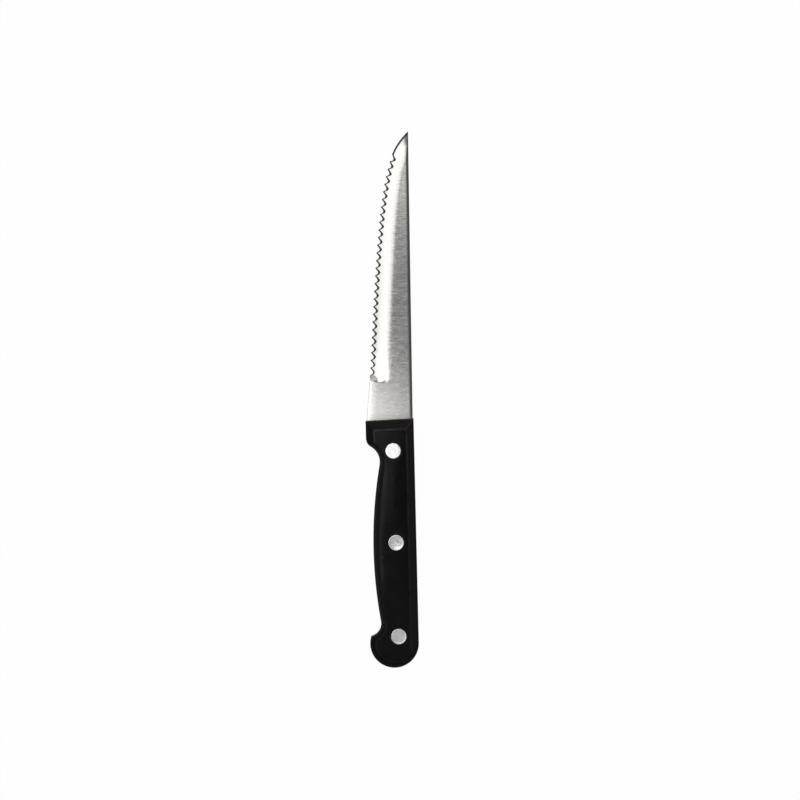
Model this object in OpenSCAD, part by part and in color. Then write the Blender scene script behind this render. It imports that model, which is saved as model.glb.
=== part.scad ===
// Serrated pizza knife with a riveted two-scale handle, lying on its rear scale.
// X runs from the cutting edge to the back, Y from the butt to the tip and Z out of the front face.

/* [Blade] */
// Length of the blade from the handle's back corner to the tip
blade_length = 115.8; // [95:0.1:140]
// Thickness of the steel strip that the blade and the tang are stamped from
blade_thickness = 1.2; // [1:0.1:2]
// Width of the blade where it leaves the handle
heel_width = 18.8; // [17.8:0.1:19.2]
// Width of the blade where the grind starts
grind_start_width = 17.4; // [16:0.1:18]
// Length of the bare stretch between the handle and the grind
ricasso_length = 15; // [8:0.5:25]
// Step from the handle's back in to the blade's spine
spine_step = 0.35; // [0.2:0.05:1]
// Angle by which the spine swings out from the handle's back
spine_angle = 0.4; // [0:0.1:1.5]
// Width of the bevel along the front edge of the spine
spine_bevel_width = 0.9; // [0.3:0.1:1.2]
// Depth of the bevel along the front edge of the spine
spine_bevel_depth = 0.4; // [0.1:0.05:0.5]

/* [Edge curve] */
// Angle between the cutting edge and the handle's back where the grind starts
edge_angle = 3.5; // [2:0.5:6]
// Reach of the curve's straighter stretch towards the tip
edge_reach = 85; // [60:1:90]
// Angle between the cutting edge and the handle's back at the tip
tip_angle = 47; // [38:1:55]
// Reach of the curve's steeper stretch back from the tip
tip_reach = 12; // [8:1:18]

/* [Grind] */
// Width of the ground band where it starts
grind_width = 7.6; // [5:0.1:9]
// Width of the ground band at the tip
grind_tip_width = 6.4; // [5:0.1:9]
// Depth of the hollow below a flat grind
grind_hollow = 0.1; // [0:0.02:0.16]
// Thickness of steel that the grind leaves at the edge
edge_thickness = 0.4; // [0.3:0.05:0.8]

/* [Serrations] */
// Number of gullets along the edge
tooth_count = 29; // [18:1:36]
// Plain edge left between the start of the grind and the first tooth
plain_heel = 2.6; // [1:0.1:6]
// Plain edge left between the last tooth and the tip
plain_tip = 11.4; // [6:0.1:20]
// Slope of a tooth on its side towards the tip
tip_flank = 53; // [45:1:65]
// Slope of a tooth on its side towards the handle
handle_flank = 42; // [32:1:50]
// Radius at the bottom of a gullet
gullet_radius = 0.9; // [0.4:0.1:1.6]
// Angle between the sharpening bevel and the blade's face
sharpening_angle = 26; // [22:1:45]
// Height of the flat left at the cutting edge
edge_land = 0.08; // [0.04:0.01:0.2]

/* [Handle] */
// Length of the handle from its back corner to the butt
handle_length = 100.2; // [90:0.1:120]
// Thickness of each scale
scale_thickness = 5.4; // [4:0.1:7]
// Slant of the handle's end where the blade leaves it
end_slant = 1.7; // [0:0.1:4]
// Width of the handle at the finger guard
guard_width = 19.4; // [19:0.1:22]
// Radius of the finger guard's lower corner
guard_radius = 4; // [3.6:0.1:5]
// Width of the handle at the neck
neck_width = 14.05; // [13:0.05:15]
// Distance of the neck from the handle's back corner
neck_distance = 17.1; // [16.5:0.1:20]
// Radius of the hollow at the neck
neck_radius = 7; // [5:0.1:9]
// Width of the handle at its belly
belly_width = 17.4; // [16.6:0.1:18.5]
// Width of the handle at the hollow before the hook
hook_width = 15; // [14:0.1:16]
// Radius of the hollow before the hook
hook_radius = 5.2; // [4.6:0.1:6]
// Distance of the hook's hollow from the centre of the round butt
hook_distance = 8.2; // [7.6:0.1:9]
// Radius of the round butt
butt_radius = 9.8; // [9.2:0.1:11]

/* [Scale bevels] */
// Depth of the bevelled border below the flat panel
bevel_depth = 2; // [1:0.1:3]
// Width of the bevel at the blade's end
end_bevel = 4; // [2:0.1:5]
// Width of the bevel along the back
back_bevel = 3; // [1.8:0.1:4]
// Width of the bevel at the finger guard
guard_bevel = 3.2; // [2.2:0.1:3.4]
// Width of the bevel along the neck, the belly and the hook
side_bevel = 2; // [1:0.1:2.6]
// Width of the bevel round the butt
butt_bevel = 2.4; // [1:0.1:2.5]

/* [Rivets] */
// Diameter of a rivet's head
head_diameter = 6.4; // [5.5:0.1:7.5]
// Thickness of a rivet's head
head_thickness = 1.2; // [0.8:0.1:1.6]
// Depth of a rivet's head below the panel
head_recess = 0.1; // [0.05:0.05:0.3]
// Radius of the rounded rim on a rivet's head
rim_radius = 0.25; // [0.1:0.05:0.4]
// Outer diameter of the hollow barrel
barrel_diameter = 4; // [3.6:0.1:4.6]
// Diameter of the post that is pressed into the barrel
post_diameter = 2.6; // [2:0.1:2.9]
// Distance of the neck rivet from the handle's back corner
neck_rivet_distance = 12.9; // [11:0.1:18]
// Distance of the neck rivet from the handle's back
neck_rivet_inset = 8.5; // [7.5:0.1:9.3]
// Distance of the middle rivet from the halfway point of the other two, towards the blade
middle_rivet_shift = 0.4; // [-6:0.1:6]
// Distance of the middle rivet from the handle's back
middle_rivet_inset = 8.2; // [7.5:0.1:10]
// Distance of the butt rivet from the centre of the round butt, towards the blade
butt_rivet_rise = 2.8; // [0:0.1:4]
// Distance of the butt rivet from the handle's back
butt_rivet_inset = 8; // [7.5:0.1:10]

/* [Clearances] */
// Step from the scales' outline in to the tang
tang_step = 0.2; // [0:0.05:0.5]
// Gap round a rivet's head in its counterbore
head_clearance = 0.05; // [0.02:0.01:0.15]
// Gap round a barrel in its hole
barrel_clearance = 0.05; // [0.02:0.01:0.15]
// Gap round a post in its barrel
post_clearance = 0.02; // [0.01:0.01:0.05]
// Gap left between each half of a rivet and the head of the other
rivet_end_gap = 0.4; // [0.2:0.1:0.8]

/* [Hidden] */
$fn = 64;

// Length by which a cutter passes the faces that it cuts, and the longer one past the edge and the tip
overcut = 1;
long_overcut = 3;
// Largest share of a tooth's flank that the gullet's radius takes up
fillet_limit = 0.9;
// Bounds between which the belly's radius is looked for, and the number of halvings
least_belly_radius = handle_length / 4;
most_belly_radius = handle_length * 20;
belly_halvings = 40;
// Facets along each curve
curve_steps = 48;
guard_steps = 6;
neck_steps = 8;
belly_steps = 16;
hook_steps = 8;
butt_steps = 12;
gullet_steps = 5;
tip_steps = 8;
grind_steps = 36;
hollow_steps = 5;
rim_steps = 4;

steel = "#c9c8c5";
black_plastic = "#171516";
rivet_metal = "#d8d6d3";

// Points along an arc after its start
function arc(centre, radius, start, end, steps) = [
    for (i = [1 : steps])
        let (angle = start + (end - start) * i / steps)
        centre + radius * [cos(angle), sin(angle)]
];
function direction(from, to) = atan2(to.y - from.y, to.x - from.x);
function unit(v) = v / norm(v);
function reverse(list) = [for (i = [len(list) - 1 : -1 : 0]) list[i]];
function mix(from, to, share) = from + (to - from) * share;

// Handle outline: the round hollows at the neck and the hook touch one large belly arc
butt_centre = [-butt_radius, butt_radius - handle_length];
neck_centre = [-neck_width - neck_radius, -neck_distance];
hook_centre = [-hook_width - hook_radius, butt_centre.y + hook_distance];
neck_drop = belly_width - neck_width;
hook_drop = belly_width - hook_width;
function span(drop, hollow, belly) = sqrt(2 * drop * (belly + hollow) - drop ^ 2);
function belly_span(belly) = span(neck_drop, neck_radius, belly) + span(hook_drop, hook_radius, belly);
function belly_fit(low, high, turns) =
    let (middle = (low + high) / 2)
    turns == 0 ? middle
    : belly_span(middle) < neck_centre.y - hook_centre.y ? belly_fit(middle, high, turns - 1)
    : belly_fit(low, middle, turns - 1);
belly_radius = belly_fit(least_belly_radius, most_belly_radius, belly_halvings);
belly_centre = [belly_radius - belly_width, neck_centre.y - span(neck_drop, neck_radius, belly_radius)];

// Crossing of two circles on the left of the line from the first centre to the second
function crossing(c1, r1, c2, r2) =
    let (
        gap = norm(c2 - c1),
        along = (gap ^ 2 + r1 ^ 2 - r2 ^ 2) / (2 * gap),
        aside = sqrt(r1 ^ 2 - along ^ 2),
        axis = unit(c2 - c1)
    )
    c1 + along * axis + aside * [-axis.y, axis.x];

function end_y(x, end_in) = x * tan(end_slant) - end_in;

// Edge side of the handle from the blade's end to the butt, drawn in by the widths given
function edge_side(end_in, guard_in, side_in, butt_in) =
    let (
        guard_x = guard_in - guard_width,
        corner_radius = guard_radius - guard_in,
        corner_x = guard_x + corner_radius,
        reach = neck_radius + side_in + corner_radius,
        corner = [corner_x, neck_centre.y + sqrt(reach ^ 2 - (corner_x - neck_centre.x) ^ 2)],
        neck_start = direction(neck_centre, corner),
        neck_end = direction(neck_centre, belly_centre),
        hook_start = direction(hook_centre, belly_centre),
        hook_tip = crossing(butt_centre, butt_radius - butt_in, hook_centre, hook_radius + side_in),
        hook_end = direction(hook_centre, hook_tip),
        butt_start = (direction(butt_centre, hook_tip) + 360) % 360
    )
    concat(
        [[guard_x, end_y(guard_x, end_in)], [guard_x, corner.y]],
        arc(corner, corner_radius, 180, neck_start + 180, guard_steps),
        arc(neck_centre, neck_radius + side_in, neck_start, neck_end, neck_steps),
        arc(belly_centre, belly_radius - side_in, neck_end + 180, hook_start + 180, belly_steps),
        arc(hook_centre, hook_radius + side_in, hook_start, hook_end, hook_steps),
        arc(butt_centre, butt_radius - butt_in, butt_start, 270, butt_steps)
    );

// Back of the handle at a given height, down the straight and round the butt
function back_x(y, back_in, butt_in) =
    let (drop = min(0, y - butt_centre.y))
    min(-back_in, butt_centre.x + sqrt(max(0, (butt_radius - butt_in) ^ 2 - drop ^ 2)));

// Closed handle outline: down the edge side, then up the back with a point opposite each one
function handle_loop(end_in, guard_in, side_in, butt_in, back_in) =
    let (
        edge = edge_side(end_in, guard_in, side_in, butt_in),
        back = [for (i = [1 : len(edge) - 2]) [back_x(edge[i].y, back_in, butt_in), edge[i].y]]
    )
    concat(edge, reverse(back), [[-back_in, end_y(-back_in, end_in)]]);

handle_outline = handle_loop(0, 0, 0, 0, 0);
panel_outline = handle_loop(end_bevel, guard_bevel, side_bevel, butt_bevel, back_bevel);
tang_outline = handle_loop(tang_step, tang_step, tang_step, tang_step, tang_step);

// Faces that close a handle outline, strip by strip across it
outline_count = len(handle_outline);
handle_cap = concat(
    [for (i = [0 : (outline_count - 5) / 2]) [i, i + 1, outline_count - 2 - i, outline_count - 1 - i]],
    [[for (i = [-1 : 1]) (outline_count - 1) / 2 + i]]
);

// Skin over a row of rings with equal numbers of points, closed at both ends by the faces in cap
module skin(rings, cap) {
    count = len(rings[0]);
    last = len(rings) - 1;
    sides = [
        for (k = [0 : last - 1], i = [0 : count - 1])
            let (next = (i + 1) % count)
            [k * count + i, (k + 1) * count + i, (k + 1) * count + next, k * count + next]
    ];
    far_cap = [for (face = cap) [for (i = reverse(face)) i + last * count]];
    polyhedron([for (ring = rings) each ring], concat(cap, sides, far_cap));
}

// Cutting edge: one curve from the start of the grind to the tip
function spine_x(y) = y * tan(spine_angle) - spine_step;
edge_start = [-grind_start_width, ricasso_length];
tip = [spine_x(blade_length), blade_length];
edge_pull = edge_start + edge_reach * [sin(edge_angle), cos(edge_angle)];
tip_pull = tip - tip_reach * [sin(tip_angle), cos(tip_angle)];
function edge_point(t) =
    (1 - t) ^ 3 * edge_start
    + 3 * (1 - t) ^ 2 * t * edge_pull
    + 3 * (1 - t) * t ^ 2 * tip_pull
    + t ^ 3 * tip;
function edge_heading(t) = unit(
    (1 - t) ^ 2 * (edge_pull - edge_start)
    + 2 * (1 - t) * t * (tip_pull - edge_pull)
    + t ^ 2 * (tip - tip_pull)
);
function inward(heading) = [heading.y, -heading.x];

// Distance along the edge against the curve's own measure
edge_run = [
    for (
        i = 0, run = 0;
        i <= curve_steps;
        run = run + norm(edge_point((i + 1) / curve_steps) - edge_point(i / curve_steps)), i = i + 1
    )
        [run, i / curve_steps]
];
edge_length = edge_run[curve_steps][0];
pitch = (edge_length - plain_heel - plain_tip) / tooth_count;
function peak_measure(k) = lookup(plain_heel + k * pitch, edge_run);

// Gullet between two peaks: two straight flanks with a round bottom
gullet_angle = 180 - tip_flank - handle_flank;
flank_length = pitch * sin(handle_flank) / sin(gullet_angle);
short_flank = pitch * min(sin(handle_flank), sin(tip_flank)) / sin(gullet_angle);
gullet_fillet = min(gullet_radius, fillet_limit * short_flank * tan(gullet_angle / 2));
straight_flank = flank_length - gullet_fillet / tan(gullet_angle / 2);
gullet_centre = [
    straight_flank * cos(tip_flank) + gullet_fillet * sin(tip_flank),
    straight_flank * sin(tip_flank) - gullet_fillet * cos(tip_flank)
];
gullet = concat(
    [straight_flank * [cos(tip_flank), sin(tip_flank)]],
    arc(gullet_centre, gullet_fillet, 90 + tip_flank, 90 - handle_flank, gullet_steps)
);

// Stations along the finished edge, each a point and the way in to the blade
tooth_stations = [
    for (k = [0 : tooth_count - 1])
        let (
            low = edge_point(peak_measure(k)),
            high = edge_point(peak_measure(k + 1)),
            chord = unit(high - low),
            heading = edge_heading(peak_measure(k + 1))
        )
        each concat(
            [for (p = gullet) [low + p.x * chord + p.y * inward(chord), inward(chord)]],
            [[high, inward(heading)]]
        )
];
tip_stations = [
    for (i = [1 : tip_steps])
        let (t = mix(peak_measure(tooth_count), 1, i / tip_steps))
        [edge_point(t), inward(edge_heading(t))]
];
first_peak = [edge_point(peak_measure(0)), inward(edge_heading(peak_measure(0)))];
edge_stations = concat([first_peak], tooth_stations, tip_stations);
past_tip = [tip + long_overcut * edge_heading(1), inward(edge_heading(1))];

// Outline of the whole stamping: the tang, the spine, the edge from the tip down and the heel
blade_outline = concat(
    tang_outline,
    [[spine_x(-tang_step), -tang_step]],
    reverse([for (station = edge_stations) station[0]]),
    [edge_start, [-heel_width, 0], [-heel_width, end_y(-heel_width, tang_step)]]
);

// A ring of points across the edge, from distances into the blade and heights
function across(station, profile) = [
    for (p = profile)
        let (place = station[0] + p[0] * station[1])
        [place.x, place.y, p[1]]
];
cut_top = blade_thickness + overcut;

// Hollow grind on the front face, from the plunge to past the tip
function ground_height(inset, width) =
    let (share = inset / width)
    mix(edge_thickness, blade_thickness, share) - 4 * grind_hollow * share * (1 - share);
function grind_profile(width) = concat(
    [[-overcut, cut_top], [width + overcut, cut_top]],
    [
        for (inset = concat(
            [width + overcut], [for (j = [0 : hollow_steps]) width * (1 - j / hollow_steps)], [-overcut]
        ))
            [inset, ground_height(inset, width)]
    ]
);
module grind_cutter() {
    rings = concat(
        [
            for (i = [0 : grind_steps])
                let (t = i / grind_steps)
                across(
                    [edge_point(t), inward(edge_heading(t))],
                    grind_profile(mix(grind_width, grind_tip_width, t))
                )
        ],
        [across(past_tip, grind_profile(grind_tip_width))]
    );
    skin(rings, [[for (i = [0 : len(rings[0]) - 1]) i]]);
}

// Sharpening bevel that follows every tooth and the plain tip
function bevel_inset(height) = (height - edge_land) / tan(sharpening_angle);
sharpening_profile = [
    [-long_overcut, cut_top],
    [bevel_inset(cut_top), cut_top],
    [bevel_inset(-overcut), -overcut],
    [-long_overcut, -overcut]
];
module sharpening_cutter() {
    rings = [for (station = concat(edge_stations, [past_tip])) across(station, sharpening_profile)];
    skin(rings, [[0, 1, 2, 3]]);
}

module spine_cutter() {
    translate([spine_x(0), 0, blade_thickness])
        rotate([0, 0, -spine_angle])
        rotate([-90, 0, 0])
        linear_extrude(blade_length + long_overcut)
        polygon([
            [-2 * spine_bevel_width, -spine_bevel_depth],
            [spine_bevel_width, 2 * spine_bevel_depth],
            [spine_bevel_width, -spine_bevel_depth]
        ]);
}

// Rivet places
neck_rivet = [-neck_rivet_inset, -neck_rivet_distance];
butt_rivet = [-butt_rivet_inset, butt_centre.y + butt_rivet_rise];
middle_rivet = [-middle_rivet_inset, (neck_rivet.y + butt_rivet.y) / 2 + middle_rivet_shift];
rivets = [neck_rivet, middle_rivet, butt_rivet];
barrel_hole = barrel_diameter + 2 * barrel_clearance;
head_hole = head_diameter + 2 * head_clearance;
head_seat = scale_thickness - head_recess - head_thickness;
grip = 2 * head_seat + blade_thickness;

// Everything moves so that the knife lies on the ground with its box centred on the origin
low_x = min([for (p = handle_outline) p.x]);
high_x = max(0, tip.x);
module place() {
    translate([-(low_x + high_x) / 2, (handle_length - blade_length) / 2, scale_thickness])
        children();
}

module blade() {
    color(steel)
        place()
        difference() {
            linear_extrude(blade_thickness)
                polygon(blade_outline);
            grind_cutter();
            sharpening_cutter();
            spine_cutter();
            for (rivet = rivets)
                translate([rivet.x, rivet.y, -overcut])
                    cylinder(d = barrel_hole, h = blade_thickness + 2 * overcut);
        }
}

// A scale with its inner face on the ground
module scale_half() {
    difference() {
        skin(
            [
                [for (p = handle_outline) [p.x, p.y, 0]],
                [for (p = handle_outline) [p.x, p.y, scale_thickness - bevel_depth]],
                [for (p = panel_outline) [p.x, p.y, scale_thickness]]
            ],
            handle_cap
        );
        for (rivet = rivets)
            translate([rivet.x, rivet.y, 0]) {
                translate([0, 0, -overcut])
                    cylinder(d = barrel_hole, h = scale_thickness + 2 * overcut);
                translate([0, 0, head_seat])
                    cylinder(d = head_hole, h = head_thickness + head_recess + overcut);
            }
    }
}

module front_scale() {
    color(black_plastic)
        place()
        translate([0, 0, blade_thickness])
        scale_half();
}

module rear_scale() {
    color(black_plastic)
        place()
        mirror([0, 0, 1])
        scale_half();
}

// Outline of a rivet's head above its seat, from the rim to the middle
head_profile = concat(
    [[head_diameter / 2, 0], [head_diameter / 2, head_thickness - rim_radius]],
    arc([head_diameter / 2 - rim_radius, head_thickness - rim_radius], rim_radius, 0, 90, rim_steps),
    [[0, head_thickness]]
);

// The hollow half of a rivet, pushed in from the front
module rivet_barrel(rivet) {
    bore = post_diameter / 2 + post_clearance;
    end = rivet_end_gap - grip;
    color(rivet_metal)
        place()
        translate([rivet.x, rivet.y, blade_thickness + head_seat])
        rotate_extrude()
        polygon(concat(
            [[0, 0], [bore, 0], [bore, end], [barrel_diameter / 2, end], [barrel_diameter / 2, 0]],
            head_profile
        ));
}

// The solid half of a rivet, pushed into the barrel from the rear
module rivet_post(rivet) {
    end = rivet_end_gap - grip;
    color(rivet_metal)
        place()
        translate([rivet.x, rivet.y, -head_seat])
        mirror([0, 0, 1])
        rotate_extrude()
        polygon(concat(
            [[0, end], [post_diameter / 2, end], [post_diameter / 2, 0]],
            head_profile
        ));
}

module neck_rivet_barrel() rivet_barrel(neck_rivet);
module middle_rivet_barrel() rivet_barrel(middle_rivet);
module butt_rivet_barrel() rivet_barrel(butt_rivet);
module neck_rivet_post() rivet_post(neck_rivet);
module middle_rivet_post() rivet_post(middle_rivet);
module butt_rivet_post() rivet_post(butt_rivet);

blade();
front_scale();
rear_scale();
neck_rivet_barrel();
middle_rivet_barrel();
butt_rivet_barrel();
neck_rivet_post();
middle_rivet_post();
butt_rivet_post();
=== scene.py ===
"""Builds the look of a serrated pizza knife around its solids: steel blade, black scales, rivets and stage."""

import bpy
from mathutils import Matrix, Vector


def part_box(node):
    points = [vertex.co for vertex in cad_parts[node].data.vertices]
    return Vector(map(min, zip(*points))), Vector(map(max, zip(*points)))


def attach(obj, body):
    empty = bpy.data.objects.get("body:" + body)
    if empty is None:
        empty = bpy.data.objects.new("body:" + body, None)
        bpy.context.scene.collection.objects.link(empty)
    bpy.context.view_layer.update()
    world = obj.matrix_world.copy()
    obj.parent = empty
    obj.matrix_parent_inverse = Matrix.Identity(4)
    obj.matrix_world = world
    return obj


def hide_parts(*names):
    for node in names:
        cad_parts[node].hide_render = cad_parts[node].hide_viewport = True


bl_info = {
    "name": "Pizza Knife",
    "version": (1, 0, 0),
    "blender": (4, 5, 0),
    "location": "View3D > Sidebar > Pizza Knife",
    "description": "Builds a serrated pizza knife with a riveted two-scale handle",
    "category": "Add Mesh",
}

import math
from types import SimpleNamespace

import bmesh
import bpy
from bpy.props import FloatProperty, FloatVectorProperty, IntProperty, PointerProperty
from mathutils import Matrix, Vector

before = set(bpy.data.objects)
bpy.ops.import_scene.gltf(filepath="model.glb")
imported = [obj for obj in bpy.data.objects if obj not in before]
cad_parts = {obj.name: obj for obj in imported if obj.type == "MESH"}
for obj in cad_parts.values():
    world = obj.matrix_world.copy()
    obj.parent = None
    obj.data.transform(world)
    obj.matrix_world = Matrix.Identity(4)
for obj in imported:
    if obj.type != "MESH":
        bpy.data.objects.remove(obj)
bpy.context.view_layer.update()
SCALE_LOW, SCALE_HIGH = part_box("front_scale")
BLADE_LOW, BLADE_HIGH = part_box("blade")
HEAD_LOW, HEAD_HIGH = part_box("neck_rivet_barrel")

# The pieces are modelled in millimetres, from the handle's back corner on the blade's rear face
MILLIMETRE = 0.001
CORNER = Vector((SCALE_HIGH.x, SCALE_HIGH.y, BLADE_LOW.z))
INTO_FRAME = Matrix.Translation(CORNER) @ Matrix.Scale(MILLIMETRE, 4)

# Points closer together than the first are one point, and an edge shorter than the second is dissolved
MERGE, SLIVER = 0.001, 0.0001

# The handle's sides, each with its own bevel
SIDES = ("end", "guard", "side", "butt", "back")

# The belly's radius is looked for between these multiples of the handle's length
BELLY_RANGE = (0.25, 20)

# Steps in which a crossing of two lines is closed in on, and in which the cutting edge is measured
HALVINGS, EDGE_STEPS = 48, 400

# How far each rivet's head is dished, as a share of the most dished one
DISHED = {"neck": 0, "middle": 0.7, "butt": 1}

# Angles above which an edge stays sharp
BLADE_CREASE, SCALE_CREASE, RIVET_CREASE = (math.radians(degrees) for degrees in (18, 30, 40))

# Segments of the handle's outline and of round shapes
GUARD_STEPS, NECK_STEPS, BELLY_STEPS, HOOK_STEPS, BUTT_STEPS = 10, 14, 28, 14, 44
BACK_STEPS, END_STEPS = 24, 9
FOOT_STEPS, RIDGE_STEPS, RIM_STEPS = 4, 6, 5
HOLE_SEGMENTS, RIVET_SEGMENTS = 48, 64
HEAD_RINGS = (0.85, 0.7, 0.55, 0.4, 0.25, 0.1, 0)

# A scale's wall ends and its rounded foot starts so many millimetres below the bevel
WALL_END, FOOT_START = 0.6, 0.35

# Shares of the bevel from its foot to the rounding's end, from the ridge's rounding to the ridge, and past it
FOOT_END, RIDGE_START, RIDGE_END = 0.12, 0.16, 1.2

# Share of the bevel where the panel's crown starts, and the share over which it comes in
PANEL_START, PANEL_FADE = 0.9, 0.25

# How far the border's foot and its ridge are lightened, partly as rub and partly as a painted highlight, and
# how quickly that fades off the ridge
FOOT_RUB_AND_HIGHLIGHT, RIDGE_RUB_AND_HIGHLIGHT, RUB_AND_HIGHLIGHT_FADE = 0.04, 0.85, 1.6

# Shares of that lightening, partly rub and partly painted highlight, which are left at the butt's end of the
# back, and along the other sides
BACK_RUB_AND_HIGHLIGHT, SIDE_RUB_AND_HIGHLIGHT = 0.5, 1 / 3

# Cross-sections along the bare stretch, the plunge's rise, the plain heel, a gullet and the plain tip
BARE_PARTS = (0, 0.2, 0.4, 0.6, 0.8, 0.97, 1)
RISE_PARTS = (0.1, 0.2, 0.3, 0.45, 0.6, 0.8, 1)
HEEL_PARTS = (0.2, 0.4, 0.6, 0.8, 0.95)
GULLET_STEPS, TIP_STEPS = 6, 24

# Millimetres over which the spine's bevel comes in, inside the handle
SPINE_RUN_IN = 0.12

# Columns on the blade's front face, from the edge to the spine, and the shares by which they are spread
HOLLOW_COLUMNS, BLEND_COLUMNS, FLAT_COLUMNS = 9, 8, 3
HOLLOW_CROWDING, BLEND_MARGIN, FLAT_ROOM = 1.6, 1.25, 0.8

# Columns of faces that have the sharpened bevel's finish, darkened by painted shade, and how far before the
# first tooth it starts
SHARPENED_COLUMNS, SHARPENED_LEAD = 2, 0.5

# How far past the grind line the ground finish reaches and over what width it fades, as shares of its softness
FINISH_REACH, FINISH_FADE = 0.5, 1.5

# Share of the ground band over which the plunge's rise shortens, and how far above the steel the cut starts
RISE_SHARE, CUT_START = 0.45, 0.06

# The brushing's contrast on the bare stretch, and the metres from the grind's start over which it grows full
BARE_CONTRAST, BRUSHED_FROM, BRUSHED_TO = 0.4, -0.003, 0.015

# The crown's share at the guard, where that is as a share of the neck's distance, and the shares of the way
# from the neck to the butt where the panel is widest and where the crown starts to fade
GUARD_CROWN, GUARD_PLACE, WIDEST, CROWN_FADE = 0.2, 0.45, 0.45, 0.5

# Sockets of a colour Mix node, and the place that the tip's stain spreads from
MIX_FACTOR, MIX_FIRST, MIX_SECOND, MIX_RESULT = 0, 6, 7, 2
STAINED = Vector((CORNER.x + 0.0003, BLADE_HIGH.y, BLADE_LOW.z))

# Half the floor's width, its drop below the knife and its cells, and the camera's sensor
FLOOR_HALF, FLOOR_DROP, FLOOR_CELLS = 1.5, 0.0001, 8
SENSOR_WIDTH = 36

# Name, size, place, turn in degrees and brightness of each lamp
LAMPS = (
    ("edge_strip", (0.2, 0.5), (-0.172, 0.122, 0.6), 32, 1.55),
    ("bolster_panel", (0.138, 0.0222), (-0.071, -0.0009, 0.3), 0, 2.0),
    ("neck_panel", (0.155, 0.038), (-0.0625, -0.031, 0.3), 0, 1.2),
    ("tip_panel", (0.2, 0.2), (0.1, 0.21, 0.6), 0, 1.0),
    ("end_panel", (0.4, 0.82), (0.0, 0.59, 0.3), 0, 0.65),
    ("butt_panel", (0.2, 0.16), (0.0, -0.135, 0.3), 0, 0.22),
    ("rim_panel", (0.095, 0.1), (-0.0825, -0.115, 0.3), 0, 1.4),
    ("back_panel", (0.3, 0.8), (0.6, -0.05, 0.25), 0, 0.5),
)


def length(name, description, default):
    """A length property; its default is given in metres."""
    return FloatProperty(name=name, description=description, default=default, unit="LENGTH", precision=5)


def angle(name, description, default):
    """An angle property; its default is given in degrees."""
    return FloatProperty(name=name, description=description, default=math.radians(default), subtype="ANGLE")


def share(name, description, default):
    """A property from 0 to 1."""
    return FloatProperty(name=name, description=description, default=default, min=0, max=1, subtype="FACTOR")


def colour(name, description, default):
    """A linear colour property."""
    return FloatVectorProperty(
        name=name, description=description, default=default, min=0, max=1, subtype="COLOR"
    )


class KnifeBladeSizes(bpy.types.PropertyGroup):
    """Sizes of the steel strip."""

    blade_length: length("Length", "Length from the handle's back corner to the tip", BLADE_HIGH.y - CORNER.y)
    thickness: length("Thickness", "Thickness of the steel strip", SCALE_LOW.z - BLADE_LOW.z)
    heel_width: length("Heel width", "Width where the blade leaves the handle", 0.0188)
    grind_start_width: length("Grind start width", "Width where the grind starts", 0.0174)
    ricasso_length: length("Bare stretch", "Length of the bare stretch before the grind", 0.015)
    ricasso_round_width: length("Rounding width", "Width of the rounded edge on the bare stretch", 0.0027)
    ricasso_round_drop: length("Rounding drop", "Drop of the rounded edge on the bare stretch", 0.000185)
    bare_corner: length("Bare corner", "Size of the broken corner on that stretch's edge", 0.00006)
    spine_step: length("Spine step", "Step from the handle's back in to the spine", 0.00035)
    spine_angle: angle("Spine angle", "Angle by which the spine swings out", 0.4)
    spine_bevel_width: length("Spine bevel width", "Width of the bevel along the spine", 0.0009)
    spine_bevel_depth: length("Spine bevel depth", "Depth of the bevel along the spine", 0.0004)
    # The spine's darker tone, which fades over this width, is partly a dull finish and partly painted shade
    spine_dull_and_shade_width: length("Dull width", "Width over which the spine's dull finish fades out", 0.001)
    edge_angle: angle("Edge angle", "Angle of the cutting edge where the grind starts", 3.5)
    edge_reach: length("Edge reach", "Reach of the edge curve's straighter stretch", 0.085)
    tip_angle: angle("Tip angle", "Angle of the cutting edge at the tip", 47)
    tip_reach: length("Tip reach", "Reach of the edge curve's steeper stretch", 0.012)
    grind_width: length("Grind width", "Width of the ground band where it starts", 0.0073)
    grind_tip_width: length("Grind tip width", "Width of the ground band at the tip", 0.0042)
    grind_hollow: length("Hollow", "Depth of the hollow below a flat grind", 0.0001)
    grind_blend: length("Grind line softness", "Half the width over which the grind line is rounded", 0.0017)
    plunge_hollow: length("Plunge hollow", "Extra depth of the hollow where the grind starts", 0.00024)
    plunge_reach: length("Plunge reach", "Length over which that extra depth runs out", 0.011)
    plunge_length: length("Plunge length", "Length of the short rise out of the cut", 0.0003)
    plunge_edge_length: length("Plunge edge length", "Length of that rise at the cutting edge", 0.0046)
    plunge_radius: length("Plunge radius", "Radius of the corner where the grind starts", 0.0014)
    edge_thickness: length("Edge thickness", "Steel that the grind leaves at the edge", 0.0004)
    tooth_count: IntProperty(name="Teeth", description="Number of gullets along the edge", default=29, min=1)
    plain_heel: length("Plain heel", "Plain edge before the first tooth", 0.0026)
    plain_tip: length("Plain tip", "Plain edge after the last tooth", 0.0114)
    tip_flank: angle("Tip flank", "Slope of a tooth on its side towards the tip", 53)
    handle_flank: angle("Handle flank", "Slope of a tooth on its side towards the handle", 42)
    gullet_radius: length("Gullet radius", "Radius at the bottom of a gullet", 0.0009)
    sharpening_angle: angle("Sharpening angle", "Angle of the sharpening bevel", 26)
    edge_land: length("Edge land", "Height of the flat at the cutting edge", 0.00008)


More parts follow.
